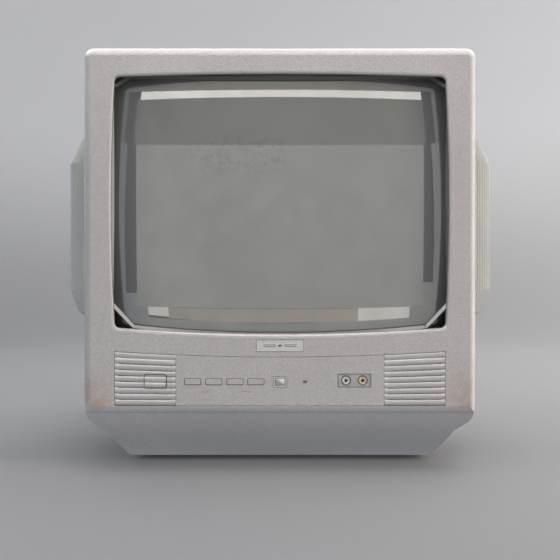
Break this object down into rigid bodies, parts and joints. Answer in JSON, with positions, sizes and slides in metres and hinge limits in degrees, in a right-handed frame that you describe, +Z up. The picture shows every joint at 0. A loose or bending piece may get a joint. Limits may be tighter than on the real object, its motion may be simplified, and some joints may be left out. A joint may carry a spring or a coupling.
{
  "type": "cathode ray tube television",
  "caption": "Portable cathode-ray-tube television: gently domed screen in a dark reveal, fanned grilles beside the controls, ribbed side vents and a tapered back.",
  "frame": {"origin": "on the ground under the middle of the set's overall box", "axes": "+X to the viewer's right across the screen, +Y to the back of the set (the screen faces -Y), +Z up"},
  "size_m": [0.4308, 0.3772, 0.389],
  "materials": {
    "silver": "metallic silver paint, fine grain",
    "rear_grey": "textured moulding",
    "surround": "gloss black",
    "badge": "satin",
    "button": "silver paint",
    "window": "smoked red-black",
    "led": "red lens, unlit",
    "av_plate": "light grey",
    "jack_white": "moulded",
    "jack_yellow": "moulded",
    "rubber": "matt",
    "steel": "zinc plated",
    "screen_glass": "tinted, polished",
    "funnel_glass": "graphite coated outside",
    "phosphor": "powder layer",
    "mask_steel": "blackened",
    "copper": "enamelled copper wire",
    "tape": "wrapped tape",
    "silicone": "satin",
    "ferrite": "sintered",
    "yoke_plastic": "moulded",
    "ring_plastic": "moulded with magnetic filler",
    "board": "paper laminate",
    "black_plastic": "moulded",
    "capacitor": "printed sleeve",
    "heatsink": "extruded",
    "tin": "tin plated",
    "paper": "pressed paper"
  },
  "bodies": {
    "set": {"front_bezel": "silver", "rear_cabinet": "rear_grey", "screen_surround": "surround", "left_grille": "silver", "right_grille": "silver", "control_panel": "silver", "badge_plate": "badge", "ir_window": "window", "standby_led": "led", "av_plate": "av_plate", "audio_socket": "jack_white", "video_socket": "jack_yellow", "rubber_feet": "rubber", "rear_cabinet_screws": "steel", "cord_gland": "black_plastic", "crt_panel": "screen_glass", "crt_funnel": "funnel_glass", "phosphor_screen": "phosphor", "shadow_mask": "mask_steel", "electron_gun": "tin", "crt_base": "black_plastic", "crt_socket": "black_plastic", "rimband": "steel", "tube_screws": "steel", "degauss_coil": "tape", "anode_cap": "rubber", "anode_lead": "silicone", "yoke_liner": "yoke_plastic", "yoke_line_coils": "copper", "yoke_field_coils": "copper", "yoke_core": "ferrite", "yoke_clamp": "steel", "magnet_holder": "black_plastic", "neck_board": "board", "neck_board_parts": "black_plastic", "main_board": "board", "chassis_rails": "black_plastic", "flyback_transformer": "black_plastic", "heatsinks": "heatsink", "board_capacitors": "capacitor", "board_components": "black_plastic", "tuner_module": "tin", "scart_socket": "black_plastic", "control_board": "board", "mains_switch": "black_plastic", "speaker_frame": "steel"},
    "power_button_body": {"power_button": "button"},
    "volume_down_button_body": {"volume_down_button": "button"},
    "volume_up_button_body": {"volume_up_button": "button"},
    "channel_down_button_body": {"channel_down_button": "button"},
    "channel_up_button_body": {"channel_up_button": "button"},
    "purity_ring_front_body": {"purity_ring_front": "ring_plastic"},
    "purity_ring_rear_body": {"purity_ring_rear": "ring_plastic"},
    "four_pole_ring_front_body": {"four_pole_ring_front": "ring_plastic"},
    "four_pole_ring_rear_body": {"four_pole_ring_rear": "ring_plastic"},
    "six_pole_ring_front_body": {"six_pole_ring_front": "ring_plastic"},
    "six_pole_ring_rear_body": {"six_pole_ring_rear": "ring_plastic"},
    "focus_knob_body": {"focus_knob": "yoke_plastic"},
    "screen_knob_body": {"screen_knob": "yoke_plastic"},
    "speaker_cone_body": {"speaker_cone": "paper"}
  },
  "joints": [
    {"name": "power_press", "type": "slide", "parent": "set", "child": "power_button_body", "axis": [0, 1, 0], "range_m": [0, 0.004], "stiffness_N_per_m": 350, "springref_m": -0.001},
    {"name": "volume_down_press", "type": "slide", "parent": "set", "child": "volume_down_button_body", "axis": [0, 1, 0], "range_m": [0, 0.0006], "stiffness_N_per_m": 1200, "springref_m": -0.0003},
    {"name": "volume_up_press", "type": "slide", "parent": "set", "child": "volume_up_button_body", "axis": [0, 1, 0], "range_m": [0, 0.0006], "stiffness_N_per_m": 1200, "springref_m": -0.0003},
    {"name": "channel_down_press", "type": "slide", "parent": "set", "child": "channel_down_button_body", "axis": [0, 1, 0], "range_m": [0, 0.0006], "stiffness_N_per_m": 1200, "springref_m": -0.0003},
    {"name": "channel_up_press", "type": "slide", "parent": "set", "child": "channel_up_button_body", "axis": [0, 1, 0], "range_m": [0, 0.0006], "stiffness_N_per_m": 1200, "springref_m": -0.0003},
    {"name": "purity_ring_front_turn", "type": "hinge", "parent": "set", "child": "purity_ring_front_body", "pos_m": [0, 0.0745, 0.247], "axis": [0, 1, 0], "range_deg": [-60, 60]},
    {"name": "purity_ring_rear_turn", "type": "hinge", "parent": "set", "child": "purity_ring_rear_body", "pos_m": [0, 0.0767, 0.247], "axis": [0, 1, 0], "range_deg": [-60, 60]},
    {"name": "four_pole_ring_front_turn", "type": "hinge", "parent": "set", "child": "four_pole_ring_front_body", "pos_m": [0, 0.0807, 0.247], "axis": [0, 1, 0], "range_deg": [-60, 60]},
    {"name": "four_pole_ring_rear_turn", "type": "hinge", "parent": "set", "child": "four_pole_ring_rear_body", "pos_m": [0, 0.0829, 0.247], "axis": [0, 1, 0], "range_deg": [-60, 60]},
    {"name": "six_pole_ring_front_turn", "type": "hinge", "parent": "set", "child": "six_pole_ring_front_body", "pos_m": [0, 0.0869, 0.247], "axis": [0, 1, 0], "range_deg": [-60, 60]},
    {"name": "six_pole_ring_rear_turn", "type": "hinge", "parent": "set", "child": "six_pole_ring_rear_body", "pos_m": [0, 0.0891, 0.247], "axis": [0, 1, 0], "range_deg": [-60, 60]},
    {"name": "focus_knob_turn", "type": "hinge", "parent": "set", "child": "focus_knob_body", "pos_m": [0.056, 0.1096, 0.07165], "axis": [0, 1, 0], "range_deg": [-130, 130]},
    {"name": "screen_knob_turn", "type": "hinge", "parent": "set", "child": "screen_knob_body", "pos_m": [0.056, 0.1096, 0.05165], "axis": [0, 1, 0], "range_deg": [-130, 130]},
    {"name": "speaker_cone_travel", "type": "slide", "parent": "set", "child": "speaker_cone_body", "axis": [0, 1, 0], "range_m": [-0.001, 0.001], "stiffness_N_per_m": 1200}
  ]
}
